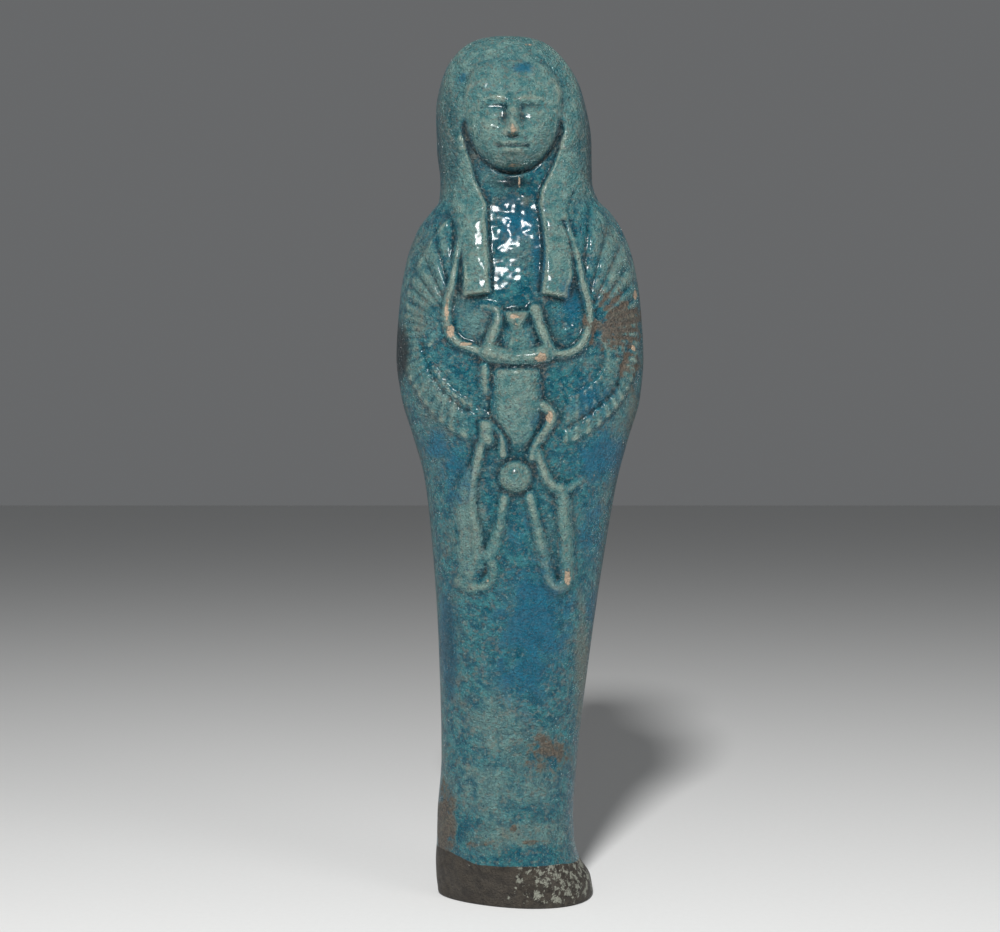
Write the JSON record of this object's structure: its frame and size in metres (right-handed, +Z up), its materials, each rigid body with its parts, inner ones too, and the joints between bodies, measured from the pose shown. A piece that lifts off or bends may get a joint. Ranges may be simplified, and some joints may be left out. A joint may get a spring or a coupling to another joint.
{
  "type": "ushabti figurine",
  "caption": "Standing mummiform funerary figurine of glazed faience with a plain tripartite wig and a winged scarab, sun disc and twin cobras in low relief on its front.",
  "frame": {"origin": "middle of the bounding box at the height of the sole", "axes": "+Z up from the sole to the crown, -Y the way the face looks, +X towards the figurine's left hand"},
  "size_m": [0.0434, 0.0262, 0.15],
  "materials": {
    "faience": "turquoise alkaline glaze, uneven and worn, over a grey-tan quartz body"
  },
  "bodies": {
    "root": {"ushabti_figurine": "faience"}
  },
  "joints": []
}
